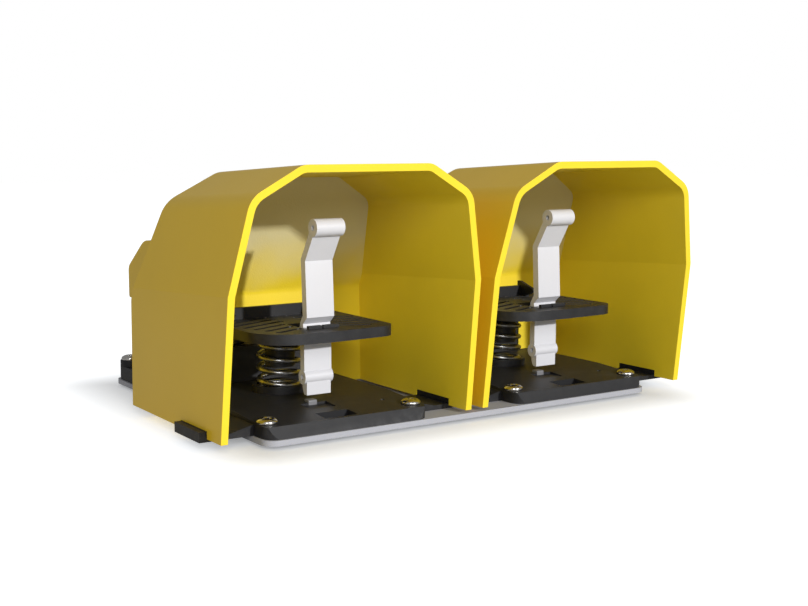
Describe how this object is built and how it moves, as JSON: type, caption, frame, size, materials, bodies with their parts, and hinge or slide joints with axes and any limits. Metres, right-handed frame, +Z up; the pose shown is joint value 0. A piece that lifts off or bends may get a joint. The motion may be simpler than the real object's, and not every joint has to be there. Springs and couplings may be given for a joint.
{
  "type": "industrial foot switch",
  "caption": "Twin industrial foot switch: two sprung pedals with pale latch levers under yellow guard hoods, side by side on one steel plate.",
  "frame": {"origin": "centre of the overall box at floor level, under the feet", "axes": "+Z up, +X to the user's right along the row of pedals, -Y towards the user, who stands in front of the guard mouths"},
  "size_m": [0.3224, 0.231, 0.1447],
  "materials": {
    "plate_paint": "satin powder coat",
    "foot_rubber": "matt",
    "black_plastic": "fine-grained, satin",
    "yellow_plastic": "satin, lightly grained inside",
    "pale_plastic": "satin",
    "contact_plastic": "satin",
    "zinc_screw": "bright zinc plate",
    "zinc_steel": "zinc plated",
    "spring_steel": "drawn wire",
    "contact_brass": "plain",
    "gasket_rubber": "matt"
  },
  "bodies": {
    "root": {"mounting_plate": "plate_paint", "rubber_feet": "foot_rubber", "left_base": "black_plastic", "left_base_screws": "zinc_screw", "left_latch_stop": "pale_plastic", "left_hood": "yellow_plastic", "left_hood_screws": "zinc_screw", "left_switch_housing": "black_plastic", "left_housing_screws": "zinc_screw", "left_lid_gasket": "gasket_rubber", "left_housing_lid": "black_plastic", "left_lid_screws": "zinc_screw", "left_pedal_axle": "zinc_steel", "left_axle_spacers": "zinc_steel", "left_axle_clips": "spring_steel", "left_return_spring": "spring_steel", "left_contact_block": "contact_plastic", "left_contact_cover": "pale_plastic", "left_block_screws": "zinc_screw", "left_terminal_screws": "zinc_screw", "left_fixed_contacts": "contact_brass", "left_plunger_spring": "spring_steel", "right_base": "black_plastic", "right_base_screws": "zinc_screw", "right_latch_stop": "pale_plastic", "right_hood": "yellow_plastic", "right_hood_screws": "zinc_screw", "right_switch_housing": "black_plastic", "right_housing_screws": "zinc_screw", "right_lid_gasket": "gasket_rubber", "right_housing_lid": "black_plastic", "right_lid_screws": "zinc_screw", "right_pedal_axle": "zinc_steel", "right_axle_spacers": "zinc_steel", "right_axle_clips": "spring_steel", "right_return_spring": "spring_steel", "right_contact_block": "contact_plastic", "right_contact_cover": "pale_plastic", "right_block_screws": "zinc_screw", "right_terminal_screws": "zinc_screw", "right_fixed_contacts": "contact_brass", "right_plunger_spring": "spring_steel"},
    "left_pedal_body": {"left_pedal": "black_plastic", "left_latch_pin": "zinc_steel", "left_latch_spring": "spring_steel"},
    "left_latch_body": {"left_latch_lever": "pale_plastic"},
    "left_plunger_body": {"left_plunger": "pale_plastic", "left_contact_bridge": "contact_brass"},
    "right_pedal_body": {"right_pedal": "black_plastic", "right_latch_pin": "zinc_steel", "right_latch_spring": "spring_steel"},
    "right_latch_body": {"right_latch_lever": "pale_plastic"},
    "right_plunger_body": {"right_plunger": "pale_plastic", "right_contact_bridge": "contact_brass"}
  },
  "joints": [
    {"name": "left_pedal_hinge", "type": "hinge", "parent": "root", "child": "left_pedal_body", "pos_m": [-0.0807, 0.0416, 0.044], "axis": [1, 0, 0], "range_deg": [0, 9], "stiffness_Nm_per_rad": 8, "springref_deg": -20.05, "deforming": ["left_return_spring"]},
    {"name": "left_latch_hinge", "type": "hinge", "parent": "left_pedal_body", "child": "left_latch_body", "pos_m": [-0.0807, -0.0554, 0.0518], "axis": [1, 0, 0], "range_deg": [-49.5, 0]},
    {"name": "left_plunger_slide", "type": "slide", "parent": "root", "child": "left_plunger_body", "axis": [0, 0, 1], "range_m": [-0.00251, 0], "deforming": ["left_plunger_spring"]},
    {"name": "right_pedal_hinge", "type": "hinge", "parent": "root", "child": "right_pedal_body", "pos_m": [0.0807, 0.0416, 0.044], "axis": [1, 0, 0], "range_deg": [0, 9], "stiffness_Nm_per_rad": 8, "springref_deg": -20.05, "deforming": ["right_return_spring"]},
    {"name": "right_latch_hinge", "type": "hinge", "parent": "right_pedal_body", "child": "right_latch_body", "pos_m": [0.0807, -0.0554, 0.0518], "axis": [1, 0, 0], "range_deg": [-49.5, 0]},
    {"name": "right_plunger_slide", "type": "slide", "parent": "root", "child": "right_plunger_body", "axis": [0, 0, 1], "range_m": [-0.00251, 0], "deforming": ["right_plunger_spring"]}
  ],
  "couplings": [
    {"joint": "left_latch_hinge", "follows": "left_pedal_hinge", "ratio": -5.5},
    {"joint": "left_plunger_slide", "follows": "left_pedal_hinge", "m_per_rad": -0.016},
    {"joint": "right_latch_hinge", "follows": "right_pedal_hinge", "ratio": -5.5},
    {"joint": "right_plunger_slide", "follows": "right_pedal_hinge", "m_per_rad": -0.016}
  ]
}
